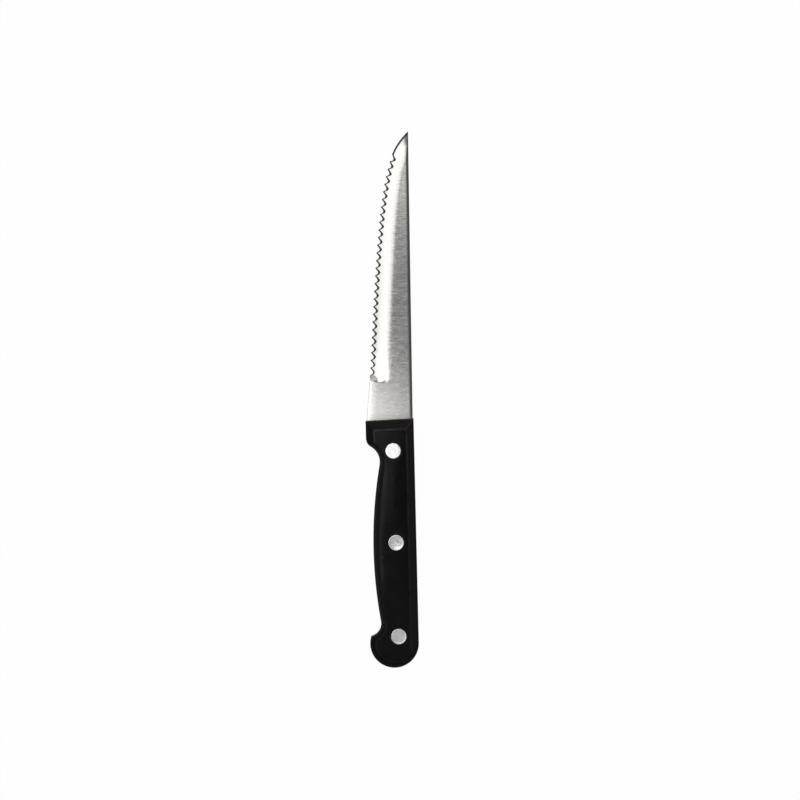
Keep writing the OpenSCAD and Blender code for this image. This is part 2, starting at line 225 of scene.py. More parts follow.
class KnifeHandleSizes(bpy.types.PropertyGroup):
    """Sizes of the two scales and of the tang between them."""

    handle_length: length("Length", "Length from the back corner to the butt", SCALE_HIGH.y - SCALE_LOW.y)
    scale_thickness: length("Scale thickness", "Thickness of each scale", SCALE_HIGH.z - SCALE_LOW.z)
    end_slant: angle("End slant", "Slant of the handle's end at the blade", 1.7)
    guard_width: length("Guard width", "Width at the finger guard", 0.0194)
    guard_radius: length("Guard radius", "Radius of the finger guard's lower corner", 0.004)
    neck_width: length("Neck width", "Width at the neck", 0.01405)
    neck_distance: length("Neck distance", "Distance of the neck from the back corner", 0.0171)
    neck_radius: length("Neck radius", "Radius of the hollow at the neck", 0.007)
    belly_width: length("Belly width", "Width at the belly", 0.0174)
    hook_width: length("Hook width", "Width at the hollow before the hook", 0.015)
    hook_radius: length("Hook radius", "Radius of the hollow before the hook", 0.0052)
    hook_distance: length("Hook distance", "Distance of the hook's hollow from the butt's centre", 0.0082)
    butt_radius: length("Butt radius", "Radius of the round butt", 0.0098)
    bevel_depth: length("Bevel depth", "Depth of the bevelled border below the panel", 0.002)
    end_bevel: length("End bevel", "Width of the bevel at the blade's end", 0.004)
    back_bevel: length("Back bevel", "Width of the bevel along the back", 0.003)
    guard_bevel: length("Guard bevel", "Width of the bevel at the finger guard", 0.0032)
    side_bevel: length("Side bevel", "Width of the bevel along the edge side", 0.002)
    butt_bevel: length("Butt bevel", "Width of the bevel round the butt", 0.0024)
    # The mitre's line and the back's ridge are lightened partly as rub and partly as a painted highlight
    mitre_width: length("Mitre width", "Half the width of the rubbed line on the back's mitre", 0.00035)
    rub_and_highlight_length: length("Rubbed length", "Length over which the back's ridge is rubbed", 0.06)
    crown_shift: length("Crown shift", "Shift of the panel's crown towards the edge side", 0.0012)
    panel_crown: angle("Panel crown", "Tilt of the slightly crowned panel at its edges", 11)
    tang_step: length("Tang step", "Step from the scales' outline in to the tang", 0.0002)


class KnifeRivetSizes(bpy.types.PropertyGroup):
    """Sizes of the cutler's rivets and of their holes."""

    head_diameter: length("Head diameter", "Diameter of a rivet's head", HEAD_HIGH.x - HEAD_LOW.x)
    head_thickness: length("Head thickness", "Thickness of a rivet's head", 0.0012)
    head_recess: length("Head recess", "Depth of a head below the panel", SCALE_HIGH.z - HEAD_HIGH.z)
    rim_radius: length("Rim radius", "Radius of the rounded rim on a head", 0.00025)
    dish: length("Dish", "Depth of the shallow hollow in the most dished head", 0.00017)
    barrel_diameter: length("Barrel diameter", "Outer diameter of the hollow barrel", 0.004)
    post_diameter: length("Post diameter", "Diameter of the post in the barrel", 0.0026)
    head_clearance: length("Head clearance", "Gap round a head in its counterbore", 0.00005)
    barrel_clearance: length("Barrel clearance", "Gap round a barrel in its hole", 0.00005)
    post_clearance: length("Post clearance", "Gap round a post in its barrel", 0.00002)
    end_gap: length("End gap", "Gap between each half and the head of the other", 0.0004)


class KnifeFinishes(bpy.types.PropertyGroup):
    """Colours and finishes."""

    steel: colour("Steel", "Colour of the blade", (0.565, 0.547, 0.527))
    plastic: colour("Plastic", "Colour of the scales", (0.006, 0.0054, 0.0055))
    rivet: colour("Rivet metal", "Colour of the rivets", (0.87, 0.853, 0.835))
    # Lightening of the ridges, partly rub and partly a painted highlight
    rub_and_highlight: colour("Rubbed plastic", "Colour of the rubbed ridges", (0.05, 0.043, 0.04))
    singed: colour("Singed plastic", "Colour of the line along the handle's end", (0.075, 0.044, 0.031))
    dust: colour("Dust", "Colour of the specks on the scales", (0.08, 0.075, 0.07))
    stain: colour("Stain", "Colour of the stain at the tip", (0.06, 0.046, 0.037))
    edge_stain: colour("Edge stain", "Colour of the stain on the sharpened edge", (0.03, 0.025, 0.022))
    floor: colour("Floor", "Colour of the floor", (0.9, 0.9, 0.9))
    flat_roughness: share("Flat roughness", "Roughness of the brushed flat", 0.16)
    ground_roughness: share("Ground roughness", "Roughness of the ground band", 0.16)
    plastic_roughness: share("Plastic roughness", "Roughness of the scales", 0.18)
    rivet_roughness: share("Rivet roughness", "Roughness of the rivets", 0.11)


class KnifeStage(bpy.types.PropertyGroup):
    """Camera and light."""

    lens: FloatProperty(name="Lens", description="Focal length in millimetres", default=200, unit="CAMERA")
    view_width: length("View width", "Width of the view on the floor", 0.3227)
    view_x: length("View centre X", "Place that the camera looks down on, across the knife", 0.00427)
    view_y: length("View centre Y", "Place that the camera looks down on, along the knife", -0.0003)
    roll: angle("Roll", "Turn of the camera about its line of sight", -1.346)
    world: FloatProperty(name="World", description="Strength of the light all round", default=0.27, min=0)


def in_millimetres(group):
    """The sizes of a property group, with its lengths in millimetres."""
    values = {}
    for key in group.__annotations__:
        value = getattr(group, key)
        is_length = group.bl_rna.properties[key].unit == "LENGTH"
        values[key] = value / MILLIMETRE if is_length else value
    return SimpleNamespace(**values)


def mix(low, high, part):
    """The value that lies part of the way from low to high."""
    return low + (high - low) * part


def crossing(low, high, holds):
    """The place between low and high where a condition that holds at low stops holding."""
    for _ in range(HALVINGS):
        middle = (low + high) / 2
        if holds(middle):
            low = middle
        else:
            high = middle
    return (low + high) / 2


def draw_line(bm, vert, x, y, steps=1):
    """Draws a straight line on from a vertex and returns its end."""
    start, end = vert.co.copy(), Vector((x, y, vert.co.z))
    for step in range(steps):
        vert = bmesh.ops.extrude_vert_indiv(bm, verts=[vert])["verts"][0]
        vert.co = start.lerp(end, (step + 1) / steps)
    return vert


def draw_arc(bm, vert, centre, turn, steps):
    """Draws an arc on from a vertex, anticlockwise for a positive turn, and returns its end."""
    middle = (centre.x, centre.y, vert.co.z)
    made = bmesh.ops.spin(bm, geom=[vert], cent=middle, axis=(0, 0, 1), angle=turn, steps=steps)
    return next(item for item in made["geom_last"] if isinstance(item, bmesh.types.BMVert))


def heading(start, end):
    """Angle of the line from one point to another."""
    return math.atan2(end.y - start.y, end.x - start.x)


def handle_shape(size):
    """The centres of the arcs that the handle's outline is drawn with."""
    neck = Vector((-size.neck_width - size.neck_radius, -size.neck_distance))
    butt = Vector((-size.butt_radius, size.butt_radius - size.handle_length))
    hook = Vector((-size.hook_width - size.hook_radius, butt.y + size.hook_distance))

    def span(width, hollow, belly):
        drop = size.belly_width - width
        return math.sqrt(2 * drop * (belly + hollow) - drop**2)

    def falls_short(belly):
        neck_span = span(size.neck_width, size.neck_radius, belly)
        return neck_span + span(size.hook_width, size.hook_radius, belly) < neck.y - hook.y

    radius = crossing(*(size.handle_length * part for part in BELLY_RANGE), falls_short)
    belly = Vector((radius - size.belly_width, neck.y - span(size.neck_width, size.neck_radius, radius)))
    return SimpleNamespace(neck=neck, butt=butt, hook=hook, belly=belly)


def end_y(size, x, inset):
    """Place along the handle of its slanted end, drawn in by an inset."""
    return x * math.tan(size.end_slant) - inset


def draw_handle(bm, size, inset, z):
    """Draws the handle's outline, drawn in by the insets, from the guard round the butt to the back corner."""
    shape = handle_shape(size)
    guard_x = inset.guard - size.guard_width
    corner_radius = size.guard_radius - inset.guard
    reach = size.neck_radius + inset.side + corner_radius
    corner_x = guard_x + corner_radius
    corner = Vector((corner_x, shape.neck.y + math.sqrt(reach**2 - (corner_x - shape.neck.x) ** 2)))
    neck_start, neck_end = heading(shape.neck, corner), heading(shape.neck, shape.belly)
    hook_start = heading(shape.hook, shape.belly)

    # The hook's point is where its hollow meets the round butt
    butt_radius, hook_radius = size.butt_radius - inset.butt, size.hook_radius + inset.side
    gap = (shape.hook - shape.butt).length
    along = (gap**2 + butt_radius**2 - hook_radius**2) / (2 * gap)
    axis = (shape.hook - shape.butt) / gap
    hook_tip = shape.butt + along * axis + math.sqrt(butt_radius**2 - along**2) * Vector((-axis.y, axis.x))
    butt_end = -math.acos(min(1, (size.butt_radius - inset.back) / butt_radius))
    butt_turn = (butt_end - heading(shape.butt, hook_tip)) % math.tau

    first = bm.verts.new((guard_x, end_y(size, guard_x, inset.end), z))
    vert = draw_line(bm, first, guard_x, first.co.y - size.mitre_width)
    vert = draw_line(bm, vert, guard_x, corner.y)
    vert = draw_arc(bm, vert, corner, neck_start, GUARD_STEPS)
    vert = draw_arc(bm, vert, shape.neck, neck_end - neck_start, NECK_STEPS)
    vert = draw_arc(bm, vert, shape.belly, hook_start - neck_end, BELLY_STEPS)
    vert = draw_arc(bm, vert, shape.hook, heading(shape.hook, hook_tip) - hook_start, HOOK_STEPS)
    vert = draw_arc(bm, vert, shape.butt, butt_turn, BUTT_STEPS)
    back_top = end_y(size, -inset.back, inset.end)
    vert = draw_line(bm, vert, -inset.back, back_top - size.mitre_width, BACK_STEPS)
    last = draw_line(bm, vert, -inset.back, back_top)
    return first, last


def all_round(inset):
    """The same inset on every side of the handle."""
    return SimpleNamespace(**dict.fromkeys(SIDES, inset))


def new_edges(bm, known):
    """The edges that were made since the known ones."""
    return [edge for edge in bm.edges if edge not in known]


def draw_handle_ring(bm, size, part, z, rub_and_highlight):
    """Draws a closed outline part of the way from the scale's outline to its panel's, lightened so far, partly
    as rub and partly as a painted highlight.
    """
    known, layers = set(bm.edges), bm.verts.layers.float
    layer, panel, singed = layers["rub_and_highlight"], layers["panel"], layers["singed"]
    inset = SimpleNamespace(**{side: getattr(size, f"{side}_bevel") * part for side in SIDES})
    first, last = draw_handle(bm, size, inset, z)
    near, far = last.co.x - size.mitre_width, first.co.x + size.mitre_width
    vert = draw_line(bm, last, near, end_y(size, near, inset.end))
    vert = draw_line(bm, vert, far, end_y(size, far, inset.end), END_STEPS)
    draw_line(bm, vert, first.co.x, first.co.y)
    bmesh.ops.remove_doubles(bm, verts=bm.verts, dist=MERGE)
    edges = new_edges(bm, known)
    for vert in {vert for edge in edges for vert in edge.verts}:
        vert[panel] = min(1, max(0, (part - PANEL_START) / PANEL_FADE))
        vert[singed] = 1 if rub_and_highlight else 0
        at_end = abs(vert.co.y - end_y(size, vert.co.x, inset.end)) < MERGE
        at_back = abs(vert.co.x + inset.back) < MERGE
        at_guard = abs(vert.co.x + size.guard_width - inset.guard) < MERGE
        # The lightening is partly rub and partly a painted highlight: full on the mitre, full at the end and
        # guard, fading along the back and a third as strong on the other sides
        if at_end and at_back and z > 0:
            vert[layer] = 1
        elif at_end or at_guard:
            vert[layer] = rub_and_highlight
        elif at_back:
            vert[layer] = rub_and_highlight * max(BACK_RUB_AND_HIGHLIGHT, 1 + vert.co.y / size.rub_and_highlight_length)
        else:
            vert[layer] = rub_and_highlight * SIDE_RUB_AND_HIGHLIGHT
    return edges


def draw_circle(bm, centre, radius, z):
    """Draws a round hole's rim and returns its edges."""
    known, place = set(bm.edges), Matrix.Translation((centre.x, centre.y, z))
    bmesh.ops.create_circle(bm, cap_ends=False, radius=radius, segments=HOLE_SEGMENTS, matrix=place)
    return new_edges(bm, known)


def sink(bm, rim, depth):
    """Draws a wall down from a rim and returns its lower rim."""
    made = bmesh.ops.extrude_edge_only(bm, edges=rim)["geom"]
    verts = [item for item in made if isinstance(item, bmesh.types.BMVert)]
    bmesh.ops.translate(bm, verts=verts, vec=(0, 0, -depth))
    rim = set(rim)
    edges = [item for item in made if isinstance(item, bmesh.types.BMEdge) and item not in rim]
    return [edge for edge in edges if abs(edge.verts[0].co.z - edge.verts[1].co.z) < MERGE]


def soft_corner(before, corner, after, steps):
    """Points of a rounded corner of a profile, from the point before it to the one after it."""
    points = []
    for step in range(steps + 1):
        t = step / steps
        points.append((1 - t) ** 2 * before + 2 * (1 - t) * t * corner + t**2 * after)
    return points


def rivet_centre(name):
    """Centre of a rivet, in millimetres from the handle's back corner."""
    low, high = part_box(f"{name}_rivet_barrel")
    return ((low + high) / 2 - CORNER).xy / MILLIMETRE


def add_piece(bm, name, materials, node, crease):
    """Turns a finished bmesh into a piece that rides on the knife and stands for a solid part."""
    bmesh.ops.remove_doubles(bm, verts=bm.verts, dist=MERGE)
    bmesh.ops.dissolve_degenerate(bm, edges=bm.edges, dist=SLIVER)
    bmesh.ops.recalc_face_normals(bm, faces=bm.faces)
    open_edges = [edge for edge in bm.edges if len(edge.link_faces) != 2]
    if open_edges:
        raise RuntimeError(f"{name} is not closed: {len(open_edges)} edges")
    for face in bm.faces:
        face.smooth = True
    for edge in bm.edges:
        edge.smooth = edge.calc_face_angle() < crease
    bmesh.ops.transform(bm, matrix=INTO_FRAME, verts=bm.verts)
    mesh = bpy.data.meshes.new(name)
    bm.to_mesh(mesh)
    bm.free()
    for material in materials:
        mesh.materials.append(material)
    piece = bpy.data.objects.new(name, mesh)
    bpy.context.scene.collection.objects.link(piece)
    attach(piece, "root")
    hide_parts(node)


def build_scale(size, rivet):
    """A handle scale that lies on the drawing plane: bevelled border, flat panel, three counterbored holes."""
    bm = bmesh.new()
    for name in ("rub_and_highlight", "panel", "singed"):
        bm.verts.layers.float.new(name)
    wall_top = size.scale_thickness - size.bevel_depth
    bevel_foot = Vector((0, wall_top))
    ridge = Vector((1, size.scale_thickness))
    bevel = ridge - bevel_foot
    wall = [Vector((0, height)) for height in (0, wall_top / 2, wall_top - WALL_END)]
    foot_start, foot_end = Vector((0, wall_top - FOOT_START)), bevel_foot + FOOT_END * bevel
    foot = soft_corner(foot_start, bevel_foot, foot_end, FOOT_STEPS)
    crest_start, crest_end = ridge - RIDGE_START * bevel, Vector((RIDGE_END, size.scale_thickness))
    crest = soft_corner(crest_start, ridge, crest_end, RIDGE_STEPS)
    rings = [draw_handle_ring(bm, size, point.x, point.y, 0) for point in wall]
    rings += [draw_handle_ring(bm, size, point.x, point.y, FOOT_RUB_AND_HIGHLIGHT) for point in foot]
    # Each crest ring gets its share of the ridge's lightening, partly rub and partly painted highlight
    for step, point in enumerate(crest):
        along = step / RIDGE_STEPS
        rub_and_highlight = mix(FOOT_RUB_AND_HIGHLIGHT, 0, along) + RIDGE_RUB_AND_HIGHLIGHT * math.sin(math.pi * along) ** RUB_AND_HIGHLIGHT_FADE
        rings.append(draw_handle_ring(bm, size, point.x, point.y, rub_and_highlight))
    for lower, upper in zip(rings, rings[1:]):
        bmesh.ops.bridge_loops(bm, edges=lower + upper)

    seat = size.scale_thickness - rivet.head_recess - rivet.head_thickness
    panel, inner = list(rings[-1]), list(rings[0])
    for name in DISHED:
        centre = rivet_centre(name)
        head_radius = rivet.head_diameter / 2 + rivet.head_clearance
        head_rim = draw_circle(bm, centre, head_radius, size.scale_thickness)
        seat_rim = sink(bm, head_rim, size.scale_thickness - seat)
        barrel_rim = draw_circle(bm, centre, rivet.barrel_diameter / 2 + rivet.barrel_clearance, seat)
        bmesh.ops.bridge_loops(bm, edges=seat_rim + barrel_rim)
        panel += head_rim
        inner += sink(bm, barrel_rim, seat)
    bmesh.ops.triangle_fill(bm, use_beauty=True, edges=panel)
    bmesh.ops.triangle_fill(bm, use_beauty=True, edges=inner)
    return bm


class EdgeCurve:
    """The line that the cutting edge follows, from the start of the grind to the tip."""

    def __init__(self, size):
        self.size = size
        tip_y = size.blade_length
        self.start = Vector((-size.grind_start_width, size.ricasso_length))
        self.tip = Vector((self.spine_x(tip_y), tip_y))
        self.start_pull = self.start + size.edge_reach * self.direction(size.edge_angle)
        self.tip_pull = self.tip - size.tip_reach * self.direction(size.tip_angle)
        self.runs = [0]
        for step in range(EDGE_STEPS):
            stride = self.point((step + 1) / EDGE_STEPS) - self.point(step / EDGE_STEPS)
            self.runs.append(self.runs[-1] + stride.length)
        self.length = self.runs[-1]
        self.pitch = (self.length - size.plain_heel - size.plain_tip) / size.tooth_count

    @staticmethod
    def direction(turn):
        """Direction at an angle from the knife's length, towards the back."""
        return Vector((math.sin(turn), math.cos(turn)))

    def spine_x(self, y):
        """Place of the spine at a distance along the blade."""
        return y * math.tan(self.size.spine_angle) - self.size.spine_step

    def point(self, t):
        """Place on the curve."""
        s = 1 - t
        start = s**3 * self.start + 3 * s**2 * t * self.start_pull
        return start + 3 * s * t**2 * self.tip_pull + t**3 * self.tip

    def inward(self, t):
        """Direction square to the edge, into the blade."""
        s = 1 - t
        along = s**2 * (self.start_pull - self.start) + 2 * s * t * (self.tip_pull - self.start_pull)
        along += t**2 * (self.tip - self.tip_pull)
        return Vector((along.y, -along.x)).normalized()

    def measure(self, run):
        """The curve's own measure at a distance along it."""
        if run >= self.length:
            return 1
        step = max(i for i, reached in enumerate(self.runs) if reached <= run)
        return (step + (run - self.runs[step]) / (self.runs[step + 1] - self.runs[step])) / EDGE_STEPS


def gullet_depths(size, pitch):
    """Distances along one gullet, from the peak nearer the handle, with the depth at each."""
    opening = math.pi - size.tip_flank - size.handle_flank
    flank = pitch * math.sin(size.handle_flank) / math.sin(opening)
    straight = flank - size.gullet_radius / math.tan(opening / 2)
    centre_x = straight * math.cos(size.tip_flank) + size.gullet_radius * math.sin(size.tip_flank)
    centre_y = straight * math.sin(size.tip_flank) - size.gullet_radius * math.cos(size.tip_flank)
    start, end = math.pi / 2 + size.tip_flank, math.pi / 2 - size.handle_flank
    depths = [(0.5 * straight * math.cos(size.tip_flank), 0.5 * straight * math.sin(size.tip_flank))]
    for step in range(GULLET_STEPS + 1):
        turn = mix(start, end, step / GULLET_STEPS)
        across = centre_x + size.gullet_radius * math.cos(turn)
        depths.append((across, centre_y + size.gullet_radius * math.sin(turn)))
    last_x, last_y = depths[-1]
    depths.append((mix(last_x, pitch, 0.5), last_y / 2))
    return depths


def blade_stations(size, handle, curve):
    """Cross-sections of the blade from inside the handle to the tip."""
    stations = []

    def add(base, inward, **shape):
        values = {"run": 0, "depth": 0, "sharp": 0, "round": 1, "spine": 1, "taper": 1}
        values |= {"band": size.grind_width, "hollow": size.grind_hollow}
        stations.append(SimpleNamespace(base=base, inward=inward, **(values | shape)))

    # Bare stretch, from the slanted end inside the handle to the square start of the grind
    heel_x = -size.heel_width
    heel = Vector((heel_x, end_y(handle, heel_x, handle.tang_step)))
    spine_foot = Vector((curve.spine_x(-handle.tang_step), -handle.tang_step))
    first = heading(heel, spine_foot)
    last = math.atan2(curve.inward(0).y, curve.inward(0).x)
    add(heel, (spine_foot - heel).normalized(), round=0, spine=0)
    shoulder = Vector((heel_x, 0))
    bases = [Vector((heel_x, y)) for y in (heel.y + SPINE_RUN_IN, heel.y / 2)]
    bases += [shoulder.lerp(curve.start, part) for part in BARE_PARTS]
    for base in bases:
        turn = mix(first, last, (base.y - heel.y) / (curve.start.y - heel.y))
        add(base, Vector((math.cos(turn), math.sin(turn))))

    # Start of the grind, with a rounded corner and a short rise out of the cut
    def add_run(run, **shape):
        t = curve.measure(run)
        taper = mix(1, size.grind_tip_width / size.grind_width, (run / curve.length) ** 2)
        short = max(0, size.plunge_radius - run)
        rounding = math.sqrt(size.plunge_radius**2 - short**2) - size.plunge_radius
        shape["band"] = size.grind_width * taper + rounding
        shape["hollow"] = size.grind_hollow * taper + size.plunge_hollow * max(0, 1 - run / size.plunge_reach)
        add(curve.point(t), curve.inward(t), run=run, taper=taper, **shape)

    for part in RISE_PARTS:
        add_run(size.plunge_length * part)
    for part in HEEL_PARTS:
        add_run(mix(size.plunge_length, size.plain_heel, part))

    # Teeth, then the plain edge up to the tip
    depths = gullet_depths(size, curve.pitch)
    for tooth in range(size.tooth_count):
        peak = size.plain_heel + tooth * curve.pitch
        add_run(peak, sharp=1)
        for along, depth in depths:
            add_run(peak + along, sharp=1, depth=depth)
    last_peak = curve.length - size.plain_tip
    for step in range(TIP_STEPS + 1):
        add_run(mix(last_peak, curve.length, step / TIP_STEPS), sharp=1)
    return stations


class BladeSection:
    """One cross-section of the blade: a row of places over its front, from the edge's rear to the spine's."""

    def __init__(self, size, curve, station):
        self.size, self.station = size, station
        base, inward = station.base, station.inward
        slope = math.tan(size.spine_angle)
        self.reach = max(0, (curve.spine_x(base.y) - base.x) / (inward.x - inward.y * slope))
        self.squareness = inward.x * math.cos(size.spine_angle) - inward.y * math.sin(size.spine_angle)
        self.edge = min(station.depth, self.reach)
        self.top = mix(size.edge_thickness, size.thickness, station.taper)
        spine_line = crossing(self.edge, self.reach, lambda d: self.body_height(d) <= self.spine_height(d))
        self.edge_line = crossing(
            self.edge, spine_line, lambda d: self.sharpened_height(d) < self.body_height(d)
        )
        self.spine_line = max(spine_line, self.edge_line)

    def cut(self, d):
        """How far the grind has gone down at a distance from the edge, from 0 to 1."""
        size, station = self.size, self.station
        inside = min(1, d / (RISE_SHARE * station.band))
        length = mix(size.plunge_edge_length, size.plunge_length, inside)
        return math.sin(min(1, station.run / length) * math.pi / 2)

    def body_height(self, d):
        """Height of the ground or bare front face at a distance from the edge."""
        size, station = self.size, self.station
        part, cut, top = d / station.band, self.cut(d), self.top
        ground = mix(size.edge_thickness, top, part) - 4 * station.hollow * part * (1 - part)
        ground = mix(size.thickness + CUT_START, ground, cut)
        rise = (size.thickness - size.edge_thickness + 4 * size.grind_hollow) / size.grind_width
        softness = rise * size.grind_blend * cut
        near = max(0, softness - abs(ground - top)) / softness if softness else 0
        height = min(ground, top) - near**2 * softness / 4
        inside = max(0, 1 - d / size.ricasso_round_width) * station.round
        drop = size.ricasso_round_drop * inside**2
        if station.run == 0:
            drop += max(0, size.bare_corner - d) * station.round
        return min(height, top - drop)

    def spine_height(self, d):
        """Height of the spine's bevel at a distance from the edge."""
        size = self.size
        drop = size.spine_bevel_depth * self.station.spine
        return self.top - drop + (self.reach - d) * self.squareness * drop / size.spine_bevel_width

    def sharpened_height(self, d):
        """Height of the sharpening bevel at a distance from the edge."""
        if not self.station.sharp:
            return self.size.thickness
        return self.size.edge_land + (d - self.edge) * math.tan(self.size.sharpening_angle)

    def front_height(self, d):
        """Height of the front face at a distance from the edge."""
        return min(self.body_height(d), self.spine_height(d), self.sharpened_height(d))

    def distances(self):
        """Distances from the edge of the columns on the front face."""
        blend = min(self.size.grind_blend * BLEND_MARGIN, self.station.band / 2)
        room = self.spine_line - self.edge_line
        hollow = max(0, self.station.band - blend - self.edge_line)
        squeeze = min(1, room / (hollow + 2 * blend + FLAT_ROOM))
        shares = [(step / HOLLOW_COLUMNS) ** HOLLOW_CROWDING for step in range(HOLLOW_COLUMNS)]
        offsets = [hollow * part * squeeze for part in shares]
        offsets += [(hollow + 2 * blend * step / BLEND_COLUMNS) * squeeze for step in range(BLEND_COLUMNS)]
        rest = (hollow + 2 * blend) * squeeze
        near_spine = min(self.size.spine_dull_and_shade_width, room - rest)
        offsets.append(rest)
        offsets += [room - near_spine * (1 - step / FLAT_COLUMNS) for step in range(FLAT_COLUMNS + 1)]
        return [self.edge_line + offset for offset in offsets]

    def row(self):
        """Distance from the edge and height of every column."""
        land, spine = self.front_height(self.edge), self.front_height(self.reach)
        if self.station.run > 0:
            land = min(self.size.edge_land, land)
        front = [(d, self.front_height(d)) for d in self.distances()]
        return [(self.edge, 0), (self.edge, land), *front, (self.reach, spine), (self.reach, 0)]

    def place(self, d, height):
        """Point at a distance from the edge and a height."""
        spot = self.station.base + d * self.station.inward
        return Vector((spot.x, spot.y, height))

    def dull_and_shade_share(self, d):
        """How far a place has the spine's dull finish and painted shade, from 0 to 1."""
        size = self.size
        past = (self.reach - d) * self.squareness - size.spine_bevel_width
        return (1 - min(1, max(0, past / size.spine_dull_and_shade_width))) ** 2

    def ground_share(self, d):
        """How far a place has the ground band's finish, from 0 to 1."""
        blend = self.size.grind_blend
        past = self.station.band + FINISH_REACH * blend - d
        part = min(1, max(0, past / (FINISH_FADE * blend)))
        return part * part * (3 - 2 * part) * self.cut(d)


def build_blade(size, handle, rivet):
    """The steel strip: a blade skinned over its cross-sections, with a drilled tang behind it."""
    bm = bmesh.new()
    layers = bm.verts.layers.float
    for name in ("ground", "dull"):
        layers.new(name)
    ground, dull = layers["ground"], layers["dull"]
    curve = EdgeCurve(size)
    sections = [BladeSection(size, curve, station) for station in blade_stations(size, handle, curve)]
    rows = [section.row() for section in sections]
    column_faces, row_faces = len(rows[0]) - 1, len(rows) - 1
    made = bmesh.ops.create_grid(bm, x_segments=column_faces, y_segments=row_faces, size=0.5)
    first_columns = SHARPENED_COLUMNS / column_faces - 0.5
    sharpened = [face for face in bm.faces if face.calc_center_median().x < first_columns]
    for vert in made["verts"]:
        column, row = round((vert.co.x + 0.5) * column_faces), round((vert.co.y + 0.5) * row_faces)
        d, height = rows[row][column]
        vert.co = sections[row].place(d, height)
        vert[ground] = sections[row].ground_share(d)
        vert[dull] = sections[row].dull_and_shade_share(d)
    for face in sharpened:
        if face.calc_center_median().y > curve.start.y + size.plain_heel - SHARPENED_LEAD:
            face.material_index = 1

    known = set(bm.edges)
    first, last = draw_handle(bm, handle, all_round(handle.tang_step), 0)
    draw_line(bm, first, *sections[0].place(0, 0).xy)
    draw_line(bm, last, *sections[0].place(sections[0].reach, 0).xy)
    sink(bm, new_edges(bm, known), -size.thickness)
    bmesh.ops.remove_doubles(bm, verts=bm.verts, dist=MERGE)
    open_edges = [edge for edge in bm.edges if len(edge.link_faces) == 1]
    rear = [edge for edge in open_edges if max(vert.co.z for vert in edge.verts) < MERGE]
    front = [edge for edge in open_edges if min(vert.co.z for vert in edge.verts) > size.thickness - MERGE]
    hole_radius = rivet.barrel_diameter / 2 + rivet.barrel_clearance
    for name in DISHED:
        rim = draw_circle(bm, rivet_centre(name), hole_radius, size.thickness)
        front += rim
        rear += sink(bm, rim, size.thickness)
    bmesh.ops.triangle_fill(bm, use_beauty=True, edges=front)
    bmesh.ops.triangle_fill(bm, use_beauty=True, edges=rear)
    return bm


def spin_profile(bm, points, centre):
    """Turns a profile of radius and height round a rivet's axis, on which it starts and ends."""
    vert = bm.verts.new((centre.x + points[0].x, centre.y, points[0].y))
    for point in points[1:]:
        vert = bmesh.ops.extrude_vert_indiv(bm, verts=[vert])["verts"][0]
        vert.co = centre.x + point.x, centre.y, point.y
    bmesh.ops.spin(
        bm,
        geom=[*bm.verts, *bm.edges],
        cent=(centre.x, centre.y, 0),
        axis=(0, 0, 1),
        angle=math.tau,
        steps=RIVET_SEGMENTS,
        use_merge=True,
    )


def head_profile(rivet, dish, seat, up):
    """Profile of a rivet's head from its seat to its middle, facing up for 1 and down for -1."""
    radius, rim, top = rivet.head_diameter / 2, rivet.rim_radius, rivet.head_thickness
    corner = Vector((radius, top))
    edge = soft_corner(Vector((radius, top - rim)), corner, Vector((radius - rim, top)), RIM_STEPS)
    crown = [Vector((radius * part, top - dish * (1 - part**2))) for part in HEAD_RINGS]
    return [Vector((point.x, seat + up * point.y)) for point in [Vector((radius, 0)), *edge, *crown]]


def build_barrel(rivet, dish, grip, seat, centre):
    """The hollow half of a rivet, pushed in from the front."""
    bm = bmesh.new()
    bore, outer = rivet.post_diameter / 2 + rivet.post_clearance, rivet.barrel_diameter / 2
    end = seat - grip + rivet.end_gap
    shank = [(0, seat), (bore, seat), (bore, end), (outer, end), (outer, seat)]
    spin_profile(bm, [*map(Vector, shank), *head_profile(rivet, dish, seat, 1)], centre)
    return bm


def build_post(rivet, dish, grip, seat, centre):
    """The solid half of a rivet, pushed into the barrel from the rear."""
    bm = bmesh.new()
    radius, end = rivet.post_diameter / 2, seat + grip - rivet.end_gap
    shank = [(0, end), (radius, end), (radius, seat)]
    spin_profile(bm, [*map(Vector, shank), *head_profile(rivet, dish, seat, -1)], centre)
    return bm


def add_node(tree, kind, inputs=None, **settings):
    """Adds a node, sets it up and fills its inputs with values or links."""
    node = tree.nodes.new(kind)
    for key, value in settings.items():
        setattr(node, key, value)
    fill(tree, node, inputs or {})
    return node


def fill(tree, node, inputs):
    """Fills a node's inputs with values or links."""
    for key, value in inputs.items():
        if isinstance(value, bpy.types.NodeSocket):
            tree.links.new(value, node.inputs[key])
        else:
            node.inputs[key].default_value = value


def math_node(tree, operation, first, second=0.0):
    """A number worked out from two others."""
    return add_node(tree, "ShaderNodeMath", {0: first, 1: second}, operation=operation).outputs[0]


def vector_node(tree, operation, first, second=(0.0, 0.0, 0.0)):
    """A vector worked out from two others."""
    node = add_node(tree, "ShaderNodeVectorMath", {0: first, 1: second}, operation=operation)
    return node.outputs["Vector"]


def product(tree, first, *others):
    """Numbers multiplied."""
    for value in others:
        first = math_node(tree, "MULTIPLY", first, value)
    return first


def weighted(tree, first, second, part):
    """Two patterns added, the first by a share and the second by the rest."""
    return math_node(tree, "ADD", product(tree, first, part), product(tree, second, 1 - part))


def map_range(tree, value, low, high, to_low=0.0, to_high=1.0):
    """A value moved smoothly from one range to another."""
    inputs = {"Value": value, "From Min": low, "From Max": high, "To Min": to_low, "To Max": to_high}
    node = add_node(tree, "ShaderNodeMapRange", inputs, interpolation_type="SMOOTHSTEP")
    return node.outputs["Result"]


